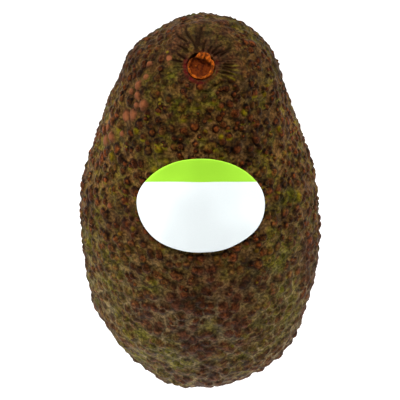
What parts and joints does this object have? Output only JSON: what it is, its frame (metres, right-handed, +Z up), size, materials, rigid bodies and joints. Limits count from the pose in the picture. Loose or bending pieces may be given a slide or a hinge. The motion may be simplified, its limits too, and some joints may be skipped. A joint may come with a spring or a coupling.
{
  "type": "avocado",
  "caption": "Ripe dark-skinned pear-shaped fruit with pebbled skin, the dried stub of its stem in the stem cavity and a blank oval sticker, lying on its flank.",
  "frame": {"origin": "middle of the small flat spot that the fruit lies on", "axes": "+Z up, -Y towards the stem end, +Y towards the blossom end, X across the fruit"},
  "size_m": [0.073, 0.123, 0.0717],
  "materials": {
    "skin": "waxy pebbled skin, dark olive and brown",
    "dried_stem": "dry, torn, orange brown",
    "sticker_paper": "satin coated paper, pale with a green band"
  },
  "bodies": {
    "root": {"fruit": "skin", "stem_stub": "dried_stem", "sticker": "sticker_paper"}
  },
  "joints": []
}
